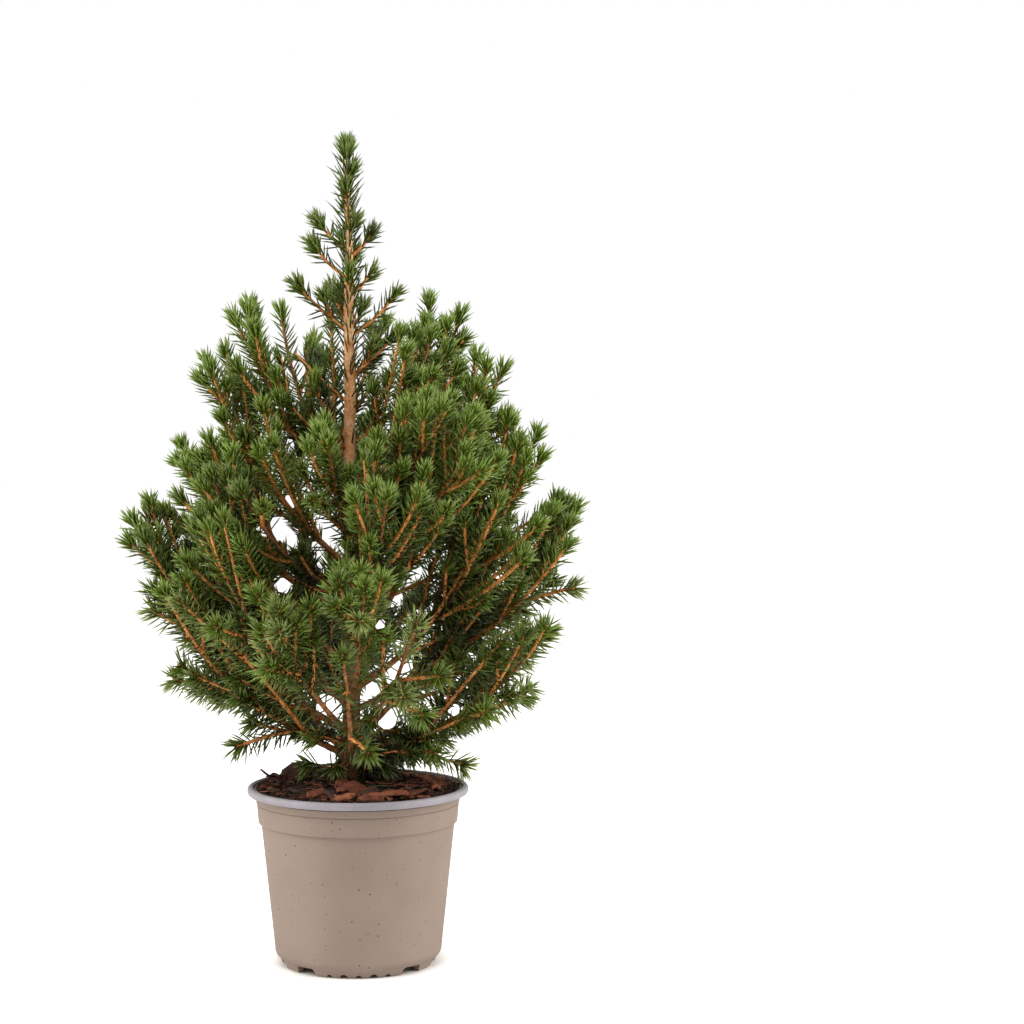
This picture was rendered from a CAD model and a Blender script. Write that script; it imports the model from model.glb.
# %% [markdown]
# # A young dwarf spruce in a nursery pot
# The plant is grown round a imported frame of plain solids: a pot, its soil, a trunk, boughs and
# masses of foliage. Every mass is replaced by twigs and needles that grow on from the limbs by a
# seeded rule, so the same tree comes up on every run. Lengths are in metres.

# %% Load the frame
import math

import bmesh
import bpy
import numpy as np
from mathutils import Matrix, Vector, noise


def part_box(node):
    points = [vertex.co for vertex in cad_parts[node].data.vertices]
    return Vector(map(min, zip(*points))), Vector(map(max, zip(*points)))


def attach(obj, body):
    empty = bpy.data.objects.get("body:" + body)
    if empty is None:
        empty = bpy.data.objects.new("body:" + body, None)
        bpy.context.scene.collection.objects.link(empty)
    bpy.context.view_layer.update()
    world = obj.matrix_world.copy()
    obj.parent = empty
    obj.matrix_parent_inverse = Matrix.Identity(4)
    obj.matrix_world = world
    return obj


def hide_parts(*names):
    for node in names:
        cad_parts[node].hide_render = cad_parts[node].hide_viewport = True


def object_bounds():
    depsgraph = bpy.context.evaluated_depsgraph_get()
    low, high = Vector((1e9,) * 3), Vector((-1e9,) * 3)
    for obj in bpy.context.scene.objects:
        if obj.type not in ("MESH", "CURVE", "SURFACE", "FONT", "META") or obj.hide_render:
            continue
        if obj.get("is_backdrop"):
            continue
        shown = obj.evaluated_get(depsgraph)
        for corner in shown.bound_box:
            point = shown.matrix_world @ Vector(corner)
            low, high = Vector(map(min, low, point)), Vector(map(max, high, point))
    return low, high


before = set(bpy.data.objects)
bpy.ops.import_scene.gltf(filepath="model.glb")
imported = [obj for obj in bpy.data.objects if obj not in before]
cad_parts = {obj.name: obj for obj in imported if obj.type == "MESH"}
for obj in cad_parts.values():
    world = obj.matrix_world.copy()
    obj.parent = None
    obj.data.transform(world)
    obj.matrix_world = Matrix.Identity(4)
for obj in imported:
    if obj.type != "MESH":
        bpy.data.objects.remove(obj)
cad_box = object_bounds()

MM = 0.001
rng = np.random.default_rng(41)
print("frame:", len(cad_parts), "nodes, box", [[round(c, 3) for c in corner] for corner in cad_box])


# %% [markdown]
# ## Helpers
# A finished piece is one object at the origin with its place in its mesh. Each helper below does
# one small job: makes an object of a bmesh, of a curve, or of many copies of one small mesh.

# %% Make, smooth and join meshes
def add_piece(name, mesh, nodes=(), smooth=True):
    piece = bpy.data.objects.new(name, mesh)
    bpy.context.scene.collection.objects.link(piece)
    mesh.polygons.foreach_set("use_smooth", [smooth] * len(mesh.polygons))
    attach(piece, "root")
    if nodes:
        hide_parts(*nodes)
    return piece


def mesh_of(bm, name):
    mesh = bpy.data.meshes.new(name)
    bm.to_mesh(mesh)
    bm.free()
    return mesh


def triangles_of(mesh):
    return sum(len(face.vertices) - 2 for face in mesh.polygons)


# Many copies of a small mesh, as one mesh. Each copy has its own matrix of three axes, its place
# and the number of the material it takes.
def scatter_mesh(name, prototype, axes, places, tones):
    corners = np.array([v.co for v in prototype.vertices])
    faces = [list(face.vertices) for face in prototype.polygons]
    copies, size = len(places), len(corners)
    points = np.einsum("vk,nkc->nvc", corners, axes) + places[:, None, :]
    starts = (np.arange(copies) * size)[:, None]
    loops = np.array([corner for face in faces for corner in face])
    mesh = bpy.data.meshes.new(name)
    mesh.vertices.add(copies * size)
    mesh.vertices.foreach_set("co", points.astype(np.float32).ravel())
    mesh.loops.add(copies * len(loops))
    mesh.loops.foreach_set("vertex_index", (starts + loops[None, :]).astype(np.int32).ravel())
    lengths = np.array([len(face) for face in faces])
    mesh.polygons.add(copies * len(faces))
    totals = np.tile(lengths, copies)
    mesh.polygons.foreach_set("loop_start", (np.cumsum(totals) - totals).astype(np.int32))
    mesh.polygons.foreach_set("material_index", np.repeat(tones, len(faces)).astype(np.int32))
    mesh.update(calc_edges=True)
    return mesh


# Tubes along many lines at once: a curve object with a round bevel and a radius at every point.
def tube_mesh(name, lines, radii, resolution=1):
    curve = bpy.data.curves.new(name, "CURVE")
    curve.dimensions = "3D"
    curve.bevel_depth = 1.0
    curve.bevel_resolution = resolution
    for line, radius in zip(lines, radii):
        spline = curve.splines.new("POLY")
        spline.points.add(len(line) - 1)
        spline.points.foreach_set("co", np.c_[line, np.ones(len(line))].ravel())
        spline.points.foreach_set("radius", radius)
    holder = bpy.data.objects.new(name, curve)
    bpy.context.scene.collection.objects.link(holder)
    graph = bpy.context.evaluated_depsgraph_get()
    mesh = bpy.data.meshes.new_from_object(holder.evaluated_get(graph))
    bpy.data.objects.remove(holder)
    bpy.data.curves.remove(curve)
    mesh.materials.clear()
    bm = bmesh.new()
    bm.from_mesh(mesh)
    bmesh.ops.holes_fill(bm, edges=bm.edges, sides=0)
    bmesh.ops.recalc_face_normals(bm, faces=bm.faces)
    bm.to_mesh(mesh)
    bm.free()
    return mesh


def unit(vectors):
    vectors = np.asarray(vectors, float)
    return vectors / np.maximum(np.linalg.norm(vectors, axis=-1, keepdims=True), 1e-9)


# %% [markdown]
# ## The camera and the light
# A long lens at the height of the crown, turned a little to the right and down. The light is
# soft: a bright pale dome with a large lamp on each side, so the pot is lighter towards both its
# edges and the heart of the crown stays dark.

# %% Place the camera
EYE = np.array([0.0, -1.51, 0.3555])
LENS = 90.6
LOOK = Vector((0.0602, 1.0, -0.0594))

camera_data = bpy.data.cameras.new("camera")
camera_data.lens = LENS
camera_data.sensor_width = 36.0
camera = bpy.data.objects.new("camera", camera_data)
camera.location = EYE
camera.rotation_euler = LOOK.to_track_quat("-Z", "Y").to_euler()
bpy.context.scene.collection.objects.link(camera)
bpy.context.scene.camera = camera
bpy.context.scene.view_settings.view_transform = "Standard"


# %% Light the set
WARM = (1.0, 0.965, 0.9)


def area_lamp(name, place, target, size, watts, color):
    lamp = bpy.data.lights.new(name, "AREA")
    lamp.shape = "RECTANGLE"
    lamp.size, lamp.size_y = size
    lamp.energy = watts
    lamp.color = color
    holder = bpy.data.objects.new(name, lamp)
    holder.location = place
    holder.rotation_euler = (Vector(target) - Vector(place)).to_track_quat("-Z", "Y").to_euler()
    bpy.context.scene.collection.objects.link(holder)


area_lamp("left_lamp", (-1.5, -0.25, 0.9), (0, 0, 0.22), (0.8, 1.4), 24, WARM)
area_lamp("right_lamp", (1.5, -0.25, 0.9), (0, 0, 0.22), (0.8, 1.4), 26, WARM)
area_lamp("top_lamp", (-0.3, -0.9, 2.0), (0, 0, 0.3), (1.0, 1.0), 17, WARM)

world = bpy.data.worlds.new("studio")
bpy.context.scene.world = world
world.use_nodes = True
sky = world.node_tree.nodes
dome = sky["Background"]
dome.inputs["Strength"].default_value = 0.48
seen = sky.new("ShaderNodeBackground")
seen.inputs["Strength"].default_value = 1.0
ray = sky.new("ShaderNodeLightPath")
choose = sky.new("ShaderNodeMixShader")
dome.inputs["Color"].default_value = (1.0, 0.98, 0.95, 1.0)
seen.inputs["Color"].default_value = (1.0, 1.0, 1.0, 1.0)
wires = world.node_tree.links
wires.new(ray.outputs["Is Camera Ray"], choose.inputs["Fac"])
wires.new(dome.outputs["Background"], choose.inputs[1])
wires.new(seen.outputs["Background"], choose.inputs[2])
wires.new(choose.outputs["Shader"], sky["World Output"].inputs["Surface"])
print("camera and", len(bpy.data.lights), "lamps")


# %% [markdown]
# ## Materials
# Wood, peat and moulded plastic change over their surface, so each gets noise on Object
# coordinates. The needles are too small for a pattern: each spray takes one plain green out of a
# short range, dark inside the crown and fresh at the tips.

# %% Shared node helpers
def new_material(name, roughness, specular=0.4):
    material = bpy.data.materials.new(name)
    material.use_nodes = True
    shader = material.node_tree.nodes["Principled BSDF"]
    shader.inputs["Roughness"].default_value = roughness
    shader.inputs["Specular IOR Level"].default_value = specular
    return material, material.node_tree.nodes, material.node_tree.links, shader


def srgb(red, green, blue):
    def linear(level):
        level /= 255
        return level / 12.92 if level <= 0.04045 else ((level + 0.055) / 1.055) ** 2.4

    return (linear(red), linear(green), linear(blue), 1.0)


# One group serves every patterned finish: two sizes of mottle mixed into a mask and a height.
def mottle_group():
    group = bpy.data.node_groups.new("mottle", "ShaderNodeTree")
    for name, value in (("Coarse scale", 60.0), ("Fine scale", 400.0), ("Fine share", 0.4)):
        socket = group.interface.new_socket(name, in_out="INPUT", socket_type="NodeSocketFloat")
        socket.default_value = value
    group.interface.new_socket("Vector", in_out="INPUT", socket_type="NodeSocketVector")
    group.interface.new_socket("Mask", in_out="OUTPUT", socket_type="NodeSocketFloat")
    nodes, links = group.nodes, group.links
    entry, leave = nodes.new("NodeGroupInput"), nodes.new("NodeGroupOutput")
    coarse, fine = nodes.new("ShaderNodeTexNoise"), nodes.new("ShaderNodeTexNoise")
    coarse.inputs["Detail"].default_value = 4.0
    fine.inputs["Detail"].default_value = 6.0
    mix = nodes.new("ShaderNodeMix")
    for texture, scale in ((coarse, "Coarse scale"), (fine, "Fine scale")):
        links.new(entry.outputs["Vector"], texture.inputs["Vector"])
        links.new(entry.outputs[scale], texture.inputs["Scale"])
    links.new(entry.outputs["Fine share"], mix.inputs["Factor"])
    links.new(coarse.outputs["Fac"], mix.inputs["A"])
    links.new(fine.outputs["Fac"], mix.inputs["B"])
    links.new(mix.outputs["Result"], leave.inputs["Mask"])
    return group


MOTTLE = mottle_group()


def add_mottle(nodes, links, coarse, fine, share):
    mottle = nodes.new("ShaderNodeGroup")
    mottle.node_tree = MOTTLE
    mottle.inputs["Coarse scale"].default_value = coarse
    mottle.inputs["Fine scale"].default_value = fine
    mottle.inputs["Fine share"].default_value = share
    place = nodes.new("ShaderNodeTexCoord")
    links.new(place.outputs["Object"], mottle.inputs["Vector"])
    return mottle.outputs["Mask"]


def add_ramp(nodes, links, mask, stops):
    ramp = nodes.new("ShaderNodeValToRGB")
    while len(ramp.color_ramp.elements) < len(stops):
        ramp.color_ramp.elements.new(0.5)
    for element, (position, color) in zip(ramp.color_ramp.elements, stops):
        element.position = position
        element.color = color
    links.new(mask, ramp.inputs["Fac"])
    return ramp.outputs["Color"]


def add_bump(nodes, links, shader, height, strength, distance):
    bump = nodes.new("ShaderNodeBump")
    bump.inputs["Strength"].default_value = strength
    bump.inputs["Distance"].default_value = distance
    links.new(height, bump.inputs["Height"])
    links.new(bump.outputs["Normal"], shader.inputs["Normal"])


def mottled_material(name, stops, scales, share, roughness, bump):
    material, nodes, links, shader = new_material(name, roughness, 0.3)
    mask = add_mottle(nodes, links, *scales, share)
    links.new(add_ramp(nodes, links, mask, stops), shader.inputs["Base Color"])
    add_bump(nodes, links, shader, mask, *bump)
    return material


def plain_material(name, color, roughness, specular=0.4):
    material, nodes, links, shader = new_material(name, roughness, specular)
    shader.inputs["Base Color"].default_value = color
    return material


# %% Bark, peat and needle materials
def trunk_material():
    material, nodes, links, shader = new_material("trunk_bark", 0.8, 0.25)
    mask = add_mottle(nodes, links, 170.0, 950.0, 0.45)
    young = add_ramp(nodes, links, mask, [
        (0.32, srgb(160, 100, 60)), (0.45, srgb(210, 148, 98)), (0.55, srgb(234, 182, 134)), (0.68, srgb(242, 208, 174)),
    ])
    old = add_ramp(nodes, links, mask, [
        (0.34, srgb(50, 30, 18)), (0.48, srgb(98, 64, 40)), (0.6, srgb(138, 98, 64)), (0.72, srgb(160, 122, 88)),
    ])
    place = nodes.new("ShaderNodeTexCoord")
    split = nodes.new("ShaderNodeSeparateXYZ")
    rise = nodes.new("ShaderNodeMapRange")
    rise.inputs["From Min"].default_value = 0.13
    rise.inputs["From Max"].default_value = 0.30
    blend = nodes.new("ShaderNodeMix")
    blend.data_type = "RGBA"
    links.new(place.outputs["Object"], split.inputs["Vector"])
    links.new(split.outputs["Z"], rise.inputs["Value"])
    links.new(rise.outputs["Result"], blend.inputs["Factor"])
    links.new(old, blend.inputs["A"])
    links.new(young, blend.inputs["B"])
    links.new(blend.outputs["Result"], shader.inputs["Base Color"])
    add_bump(nodes, links, shader, mask, 0.6, 0.0006)
    return material


OLD_BARK = trunk_material()
YOUNG_BARK = mottled_material(
    "young_bark",
    [(0.34, srgb(164, 92, 42)), (0.5, srgb(216, 138, 72)), (0.66, srgb(236, 176, 112))],
    (240.0, 1100.0), 0.4, 0.65, (0.4, 0.0004),
)
BOUGH_BARK = mottled_material(
    "bough_bark",
    [(0.34, srgb(88, 52, 28)), (0.5, srgb(146, 92, 52)), (0.66, srgb(188, 136, 90))],
    (180.0, 1000.0), 0.42, 0.75, (0.5, 0.0005),
)
TWIG_BARK = mottled_material(
    "twig_bark",
    [(0.34, srgb(150, 82, 38)), (0.5, srgb(208, 128, 64)), (0.66, srgb(230, 164, 98))],
    (260.0, 1200.0), 0.4, 0.65, (0.3, 0.0003),
)
POT_PLASTIC = mottled_material(
    "pot_plastic",
    [(0.3, srgb(138, 122, 112)), (0.5, srgb(143, 127, 117)), (0.7, srgb(147, 131, 121))],
    (35.0, 700.0), 0.3, 0.62, (0.12, 0.0002),
)


# The moulded plastic is flecked: a few fine dark specks, one at the heart of some of the cells.
def add_specks(material, cells, size, share, color):
    nodes, links = material.node_tree.nodes, material.node_tree.links
    shader = nodes["Principled BSDF"]
    base = shader.inputs["Base Color"].links[0].from_socket
    place = nodes.new("ShaderNodeTexCoord")
    cell = nodes.new("ShaderNodeTexVoronoi")
    cell.inputs["Scale"].default_value = cells
    near = nodes.new("ShaderNodeMath")
    near.operation = "LESS_THAN"
    near.inputs[1].default_value = size
    split = nodes.new("ShaderNodeSeparateColor")
    chosen = nodes.new("ShaderNodeMath")
    chosen.operation = "LESS_THAN"
    chosen.inputs[1].default_value = share
    both = nodes.new("ShaderNodeMath")
    both.operation = "MULTIPLY"
    blend = nodes.new("ShaderNodeMix")
    blend.data_type = "RGBA"
    blend.inputs["B"].default_value = color
    links.new(place.outputs["Object"], cell.inputs["Vector"])
    links.new(cell.outputs["Distance"], near.inputs[0])
    links.new(cell.outputs["Color"], split.inputs["Color"])
    links.new(split.outputs["Red"], chosen.inputs[0])
    links.new(near.outputs["Value"], both.inputs[0])
    links.new(chosen.outputs["Value"], both.inputs[1])
    links.new(both.outputs["Value"], blend.inputs["Factor"])
    links.new(base, blend.inputs["A"])
    links.new(blend.outputs["Result"], shader.inputs["Base Color"])


add_specks(POT_PLASTIC, 260.0, 0.16, 0.3, srgb(128, 110, 99))
add_specks(POT_PLASTIC, 190.0, 0.1, 0.28, srgb(92, 76, 66))
RIM_PLASTIC = mottled_material(
    "rim_plastic",
    [(0.3, srgb(140, 137, 145)), (0.7, srgb(160, 155, 165))],
    (70.0, 900.0), 0.35, 0.5, (0.08, 0.0001),
)
PEAT = mottled_material(
    "peat",
    [(0.35, srgb(18, 11, 8)), (0.55, srgb(40, 24, 17)), (0.7, srgb(62, 39, 28))],
    (320.0, 1500.0), 0.5, 0.9, (0.8, 0.0008),
)
DARK_CHIP = mottled_material(
    "dark_chip", [(0.35, srgb(34, 20, 15)), (0.65, srgb(66, 42, 32))], (200.0, 900.0), 0.5, 0.8, (0.6, 0.0006),
)
CHIP_TONES = [
    DARK_CHIP,
    mottled_material(
        "red_chip", [(0.35, srgb(72, 37, 26)), (0.65, srgb(136, 78, 56))], (180.0, 800.0), 0.5, 0.7, (0.6, 0.0006),
    ),
    mottled_material(
        "tan_chip", [(0.35, srgb(94, 50, 33)), (0.65, srgb(160, 98, 68))], (180.0, 800.0), 0.5, 0.7, (0.6, 0.0006),
    ),
    mottled_material(
        "brown_chip", [(0.35, srgb(46, 30, 23)), (0.65, srgb(88, 61, 49))], (180.0, 800.0), 0.5, 0.75, (0.6, 0.0006),
    ),
]
NEEDLE_TONES = [
    plain_material("needle_deep", srgb(36, 46, 10), 0.34, 0.6),
    plain_material("needle_dark", srgb(66, 83, 24), 0.34, 0.6),
    plain_material("needle_mid", srgb(92, 113, 34), 0.34, 0.6),
    plain_material("needle_leaf", srgb(106, 130, 42), 0.34, 0.6),
    plain_material("needle_fresh", srgb(114, 140, 48), 0.34, 0.6),
    plain_material("needle_pale", srgb(126, 142, 72), 0.36, 0.6),
]
BUD_BROWN = plain_material("bud_brown", srgb(132, 74, 38), 0.55)
print("materials:", len(bpy.data.materials))


# %% [markdown]
# ## Reading the tree in the frame
# The trunk's solid gives its own line: every ring of its corners has a middle and a radius. A
# mass of foliage is a bundle of brushes, so a corner that is further from the foot of the mass
# than all the corners near it is the tip of a shoot. Those tips are where the tree must reach.

# %% The trunk's line
def corners_of(node):
    return np.unique(np.round([v.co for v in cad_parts[node].data.vertices], 6), axis=0)


def trunk_rings():
    corners = corners_of("trunk")
    corners = corners[np.argsort(corners[:, 2])]
    breaks = np.where(np.diff(corners[:, 2]) > 4 * MM)[0] + 1
    rings = np.split(corners, breaks)
    middles = np.array([ring.mean(axis=0) for ring in rings])
    radii = np.array([np.linalg.norm(ring - m, axis=1).max() for ring, m in zip(rings, middles)])
    return middles, radii


trunk_middles, trunk_radii = trunk_rings()


def trunk_at(height):
    return np.array([np.interp(height, trunk_middles[:, 2], trunk_middles[:, axis]) for axis in range(3)])


def trunk_radius(height):
    return float(np.interp(height, trunk_middles[:, 2], trunk_radii))


print("trunk rings:", len(trunk_radii), "radii", [round(r / MM, 1) for r in trunk_radii])


# %% The foot and the tips of every mass
TIP_SIDES = 5  # the faces that meet at a brush's tip
TIP_SHARPNESS = 0.6  # radians missing round a tip, next to a flat spot
TIP_SPACING = 9 * MM

MASSES = sorted(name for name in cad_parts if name.startswith("mass_"))
BOUGHS = sorted(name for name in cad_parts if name.startswith("bough_"))


def off_trunk(point):
    return float(np.linalg.norm(point[:2] - trunk_at(point[2])[:2]))


def foot_of(mass):
    bough = mass.replace("mass_", "bough_")
    corners = corners_of(bough if bough in BOUGHS else mass)
    nearest = corners[np.argsort([off_trunk(corner) for corner in corners])[:3]]
    return trunk_at(nearest[:, 2].mean() - 2 * MM)


def tips_of(mass, foot):
    bm = bmesh.new()
    bm.from_mesh(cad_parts[mass].data)
    bmesh.ops.remove_doubles(bm, verts=bm.verts, dist=0.01 * MM)
    found = []
    for v in bm.verts:
        missing = 2 * math.pi - sum(loop.calc_angle() for loop in v.link_loops)
        heading = -sum(((e.other_vert(v).co - v.co).normalized() for e in v.link_edges), Vector())
        outward = v.co - Vector(foot)
        points_out = heading.normalized().dot(outward.normalized()) > (0.45 if "spire" in mass else 0.7)
        if len(v.link_edges) == TIP_SIDES and missing > TIP_SHARPNESS and points_out:
            found.append(np.array(v.co))
    bm.free()
    found.sort(key=lambda tip: -np.linalg.norm(tip - foot))
    tips = []
    for tip in found:
        if off_trunk(tip) > TIP_SPACING and all(np.linalg.norm(tip - other) > TIP_SPACING for other in tips):
            tips.append(tip)
    return tips


mass_feet = {mass: foot_of(mass) for mass in MASSES}
mass_tips = {mass: tips_of(mass, mass_feet[mass]) for mass in MASSES}
print("tips:", sum(len(tips) for tips in mass_tips.values()), "on", len(MASSES), "masses")


# %% [markdown]
# ## Growing the shoots
# A bough leaves the trunk low and turns up towards its tip, which a curve with one sagging
# middle point gives. Every other tip of the mass is a side shoot that leaves its leader where it
# turns off by about forty degrees. Short twigs then follow round each shoot by the golden angle,
# as spruce twigs do, and stay inside the outline that the masses draw.

# %% Curves of a limb
LIMB_BOW = 0.2
SHOOT_BOW = 0.1
SHOOT_ANGLE = math.radians(38)
GOLDEN_ANGLE = math.pi * (3 - math.sqrt(5))
UP = np.array([0.0, 0.0, 1.0])


def bezier(controls, count):
    t = np.linspace(0, 1, count)[:, None]
    a, b, c = controls
    return (1 - t) ** 2 * a + 2 * t * (1 - t) * b + t**2 * c


def limb_line(foot, tip, bow, step=3 * MM):
    middle = foot + (tip - foot) * (0.5 + 0.7 * bow)
    middle[2] = foot[2] + (tip[2] - foot[2]) * (0.5 - bow)
    count = max(6, int(np.linalg.norm(tip - foot) / step))
    line = bezier((foot, middle, tip), count)
    # a slow seeded wander, none at the two ends
    share = np.linspace(0, 1, count)
    wander = np.zeros_like(line)
    for turns in (1, 2, 3):
        push = rng.normal(0, 0.007 / turns, 3) * np.linalg.norm(tip - foot)
        wander += np.sin(np.pi * turns * share)[:, None] * push
    return line + wander


def directions(line):
    return unit(np.gradient(line, axis=0))


def lengths_along(line):
    return np.r_[0, np.cumsum(np.linalg.norm(np.diff(line, axis=0), axis=1))]


def at_length(line, lengths, where):
    return np.stack([np.interp(where, lengths, line[:, axis]) for axis in range(3)], axis=-1)


# %% The crown's outline and its gaps
BAND = 14 * MM
SECTORS = 36
crown_corners = np.concatenate([corners_of(mass) for mass in MASSES])
crown_heights = np.arange(crown_corners[:, 2].min(), crown_corners[:, 2].max() + BAND, BAND)
corner_reach = np.hypot(crown_corners[:, 0], crown_corners[:, 1])
corner_turn = np.arctan2(crown_corners[:, 1], crown_corners[:, 0])


def outline_row(height):
    near = np.abs(crown_corners[:, 2] - height) < BAND
    row = []
    for turn in np.arange(SECTORS) * 2 * math.pi / SECTORS:
        aside = np.abs((corner_turn - turn + math.pi) % (2 * math.pi) - math.pi) < math.radians(13)
        row.append(corner_reach[near & aside].max(initial=0.0))
    return row


outline = np.array([outline_row(height) for height in crown_heights])


# How far the crown reaches from its middle at a height, and in the direction of a point.
def crown_reach(heights):
    return np.interp(heights, crown_heights, outline.max(axis=1))


def outline_at(point):
    row = int(np.clip(round((point[2] - crown_heights[0]) / BAND), 0, len(outline) - 1))
    sector = round(math.atan2(point[1], point[0]) * SECTORS / (2 * math.pi)) % SECTORS
    return outline[row, sector]


# Places where the crown is open from front to back: across, height and radius, in millimetres.
SKY_GAPS = np.array([
    [-44, 223, 5], [-40, 227, 4], [-53, 258, 5.5], [-46, 254, 5], [-39, 250, 4], [-40, 272, 5],
    [-19, 151, 6.5], [17, 145, 7.5],
    [24, 174, 7.5], [9, 162, 4.5], [-21, 124, 7], [22, 217, 3.5], [13, 200, 3.5],
    [57, 148, 3.5], [82, 228, 3.5], [-43, 386, 9], [-38, 366, 8], [-36, 350, 6], [-34, 338, 4],
]) * MM


# Whether points lie in the line of a gap, seen from the front.
def in_gap(points, slack=1.0):
    points = np.atleast_2d(points)
    share = -EYE[1] / (points[:, 1] - EYE[1])
    across = EYE[0] + (points[:, 0] - EYE[0]) * share
    height = EYE[2] + (points[:, 2] - EYE[2]) * share
    off = np.hypot(across[:, None] - SKY_GAPS[:, 0], height[:, None] - SKY_GAPS[:, 1])
    return (off < SKY_GAPS[:, 2] * np.asarray(slack).reshape(-1, 1)).any(axis=1)


# The trunk shows between the low shoots and again below the spire, so few needles cross it there.
LOW_WINDOW = (0.122, 0.176)
HIGH_WINDOW = (0.294, 0.334)
WINDOW_HALF = 6 * MM


def before_trunk(points):
    points = np.atleast_2d(points)
    share = -EYE[1] / (points[:, 1] - EYE[1])
    height = EYE[2] + (points[:, 2] - EYE[2]) * share
    across = points[:, 0] * share - np.interp(height, trunk_middles[:, 2], trunk_middles[:, 0])
    level = (height > LOW_WINDOW[0]) & (height < LOW_WINDOW[1])
    level |= (height > HIGH_WINDOW[0]) & (height < HIGH_WINDOW[1])
    return level & (np.abs(across) < WINDOW_HALF) & (points[:, 1] < -4 * MM)


# %% Grow leaders, side shoots and twigs
shoots = []


def add_shoot(line, order, mass, radii, bare=0.0):
    lengths = lengths_along(line)
    shoots.append({
        "line": line, "order": order, "mass": mass, "lengths": lengths,
        "length": lengths[-1], "radii": radii, "bare": bare,
    })
    return shoots[-1]


def fork_on(leader, tip):
    line, along = leader["line"], directions(leader["line"])
    count = len(line)
    shares = np.arange(int(0.25 * count), max(int(0.86 * count), int(0.25 * count) + 1))
    off = unit(tip - line[shares])
    miss = np.abs(np.arccos(np.clip((off * along[shares]).sum(axis=1), -1, 1)) - SHOOT_ANGLE)
    return int(shares[np.argmin(miss)])


def thickness(foot, tip, count):
    return foot + (tip - foot) * np.linspace(0, 1, count) ** 0.8


BRUSH_REACH = 7 * MM  # the needles at a tip reach this far past the end of the stem


def stem_end(start, tip):
    return tip - unit(tip - start) * BRUSH_REACH


def grow_mass(mass):
    foot, tips = mass_feet[mass], mass_tips[mass]
    if "spire" in mass:
        for tip in tips:
            start = trunk_at(tip[2] - 6 * MM - 0.75 * off_trunk(tip))
            line = limb_line(start, stem_end(start, tip), SHOOT_BOW, 2 * MM)
            add_shoot(line, 2, mass, thickness(1.3 * MM, 0.8 * MM, len(line)), 0.12)
        return
    line = limb_line(foot, stem_end(foot, tips[0]), LIMB_BOW)
    size = np.clip(np.linalg.norm(tips[0] - foot) / 0.16, 0.5, 1.0)
    leader = add_shoot(line, 1, mass, thickness(2.2 * MM * size, 0.85 * MM, len(line)), 0.12)
    for tip in tips[1:]:
        if in_gap(tip)[0]:
            continue
        start = leader["line"][fork_on(leader, tip)]
        line = limb_line(start, stem_end(start, tip), SHOOT_BOW)
        add_shoot(line, 2, mass, thickness(1.5 * MM, 0.95 * MM, len(line)), 0.04)


for mass in MASSES:
    grow_mass(mass)
print("leaders and side shoots:", len(shoots))

TWIG_RULES = {
    # order of the parent: first share, spacing, share of the length ahead, longest, shortest
    1: (0.12, 8 * MM, 0.95, 105 * MM, 22 * MM),
    2: (0.3, 30 * MM, 0.5, 34 * MM, 13 * MM),
}
TWIG_ROOM = 9 * MM  # a twig's stem stays this far inside the crown's outline

# The underside of the crown: how low a stem may hang, by how far out it is, in millimetres.
UNDERSIDE_REACH = (0, 40, 59, 79, 105, 125)
UNDERSIDE_HEIGHT = (119, 121, 140, 153, 166, 182)


def underside(point):
    return np.interp(np.hypot(point[0], point[1]) / MM, UNDERSIDE_REACH, UNDERSIDE_HEIGHT) * MM



def twig_line(start, along, around, length, tilt):
    heading = math.cos(tilt) * along + math.sin(tilt) * around
    rise = 0.95 if start[2] > 0.16 else 0.25
    ending = unit(heading + 0.6 * along + rise * UP)
    middle = start + heading * length * 0.42
    return bezier((start, middle, middle + ending * length * 0.58), max(4, int(length / (2.5 * MM))))


# The longest twig, no longer than asked, that stays inside the crown and out of its gaps.
def fitted_twig(start, along, around, length, shortest):
    tilt = math.radians(rng.uniform(20, 36))
    while length >= shortest:
        line = twig_line(start, along, around, length, tilt)
        tip = line[-1]
        inside = np.hypot(tip[0], tip[1]) < outline_at(tip) - TWIG_ROOM and tip[2] > underside(tip)
        if inside and not in_gap(line, 1.1).any() and not before_trunk(line).any():
            return line
        length *= 0.82
    return None


def add_twigs(parent):
    first, spacing, share, longest, shortest = TWIG_RULES[parent["order"]]
    line, lengths, total = parent["line"], parent["lengths"], parent["length"]
    along = directions(line)
    where, turn = first * total, rng.uniform(0, 2 * math.pi)
    while where < total - 12 * MM:
        heading = unit(at_length(along, lengths, where))
        start = at_length(line, lengths, where)
        side = unit(np.cross(heading, UP + 0.01))
        around = math.cos(turn) * side + math.sin(turn) * np.cross(side, heading)
        # few twigs leave on the side that faces out of the crown, so the parent's bark shows
        outward = unit(start * np.array([1, 1, 0])) @ around
        hidden = outward > 0.35 and np.hypot(start[0], start[1]) > 28 * MM and start[2] > 0.16
        if hidden and rng.random() < 0.85:
            turn += GOLDEN_ANGLE
            where += 0.35 * spacing
            continue
        length = min(longest, share * (total - where) + 5 * MM) * rng.uniform(0.65, 1.1)
        turn += GOLDEN_ANGLE + rng.normal(0, 0.25)
        where += spacing * rng.uniform(0.75, 1.3) * (1 + 14 * max(0.0, start[2] - 0.27))
        twig = fitted_twig(start, heading, around, length, shortest)
        if twig is not None:
            order = parent["order"] + 1
            size = (0.85 + 7 * min(len(twig) * 2.5 * MM, 0.09)) * MM
            add_shoot(twig, order, parent["mass"], thickness(size, 0.85 * MM, len(twig)))


for order in TWIG_RULES:
    for parent in [shoot for shoot in shoots if shoot["order"] == order]:
        add_twigs(parent)

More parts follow.
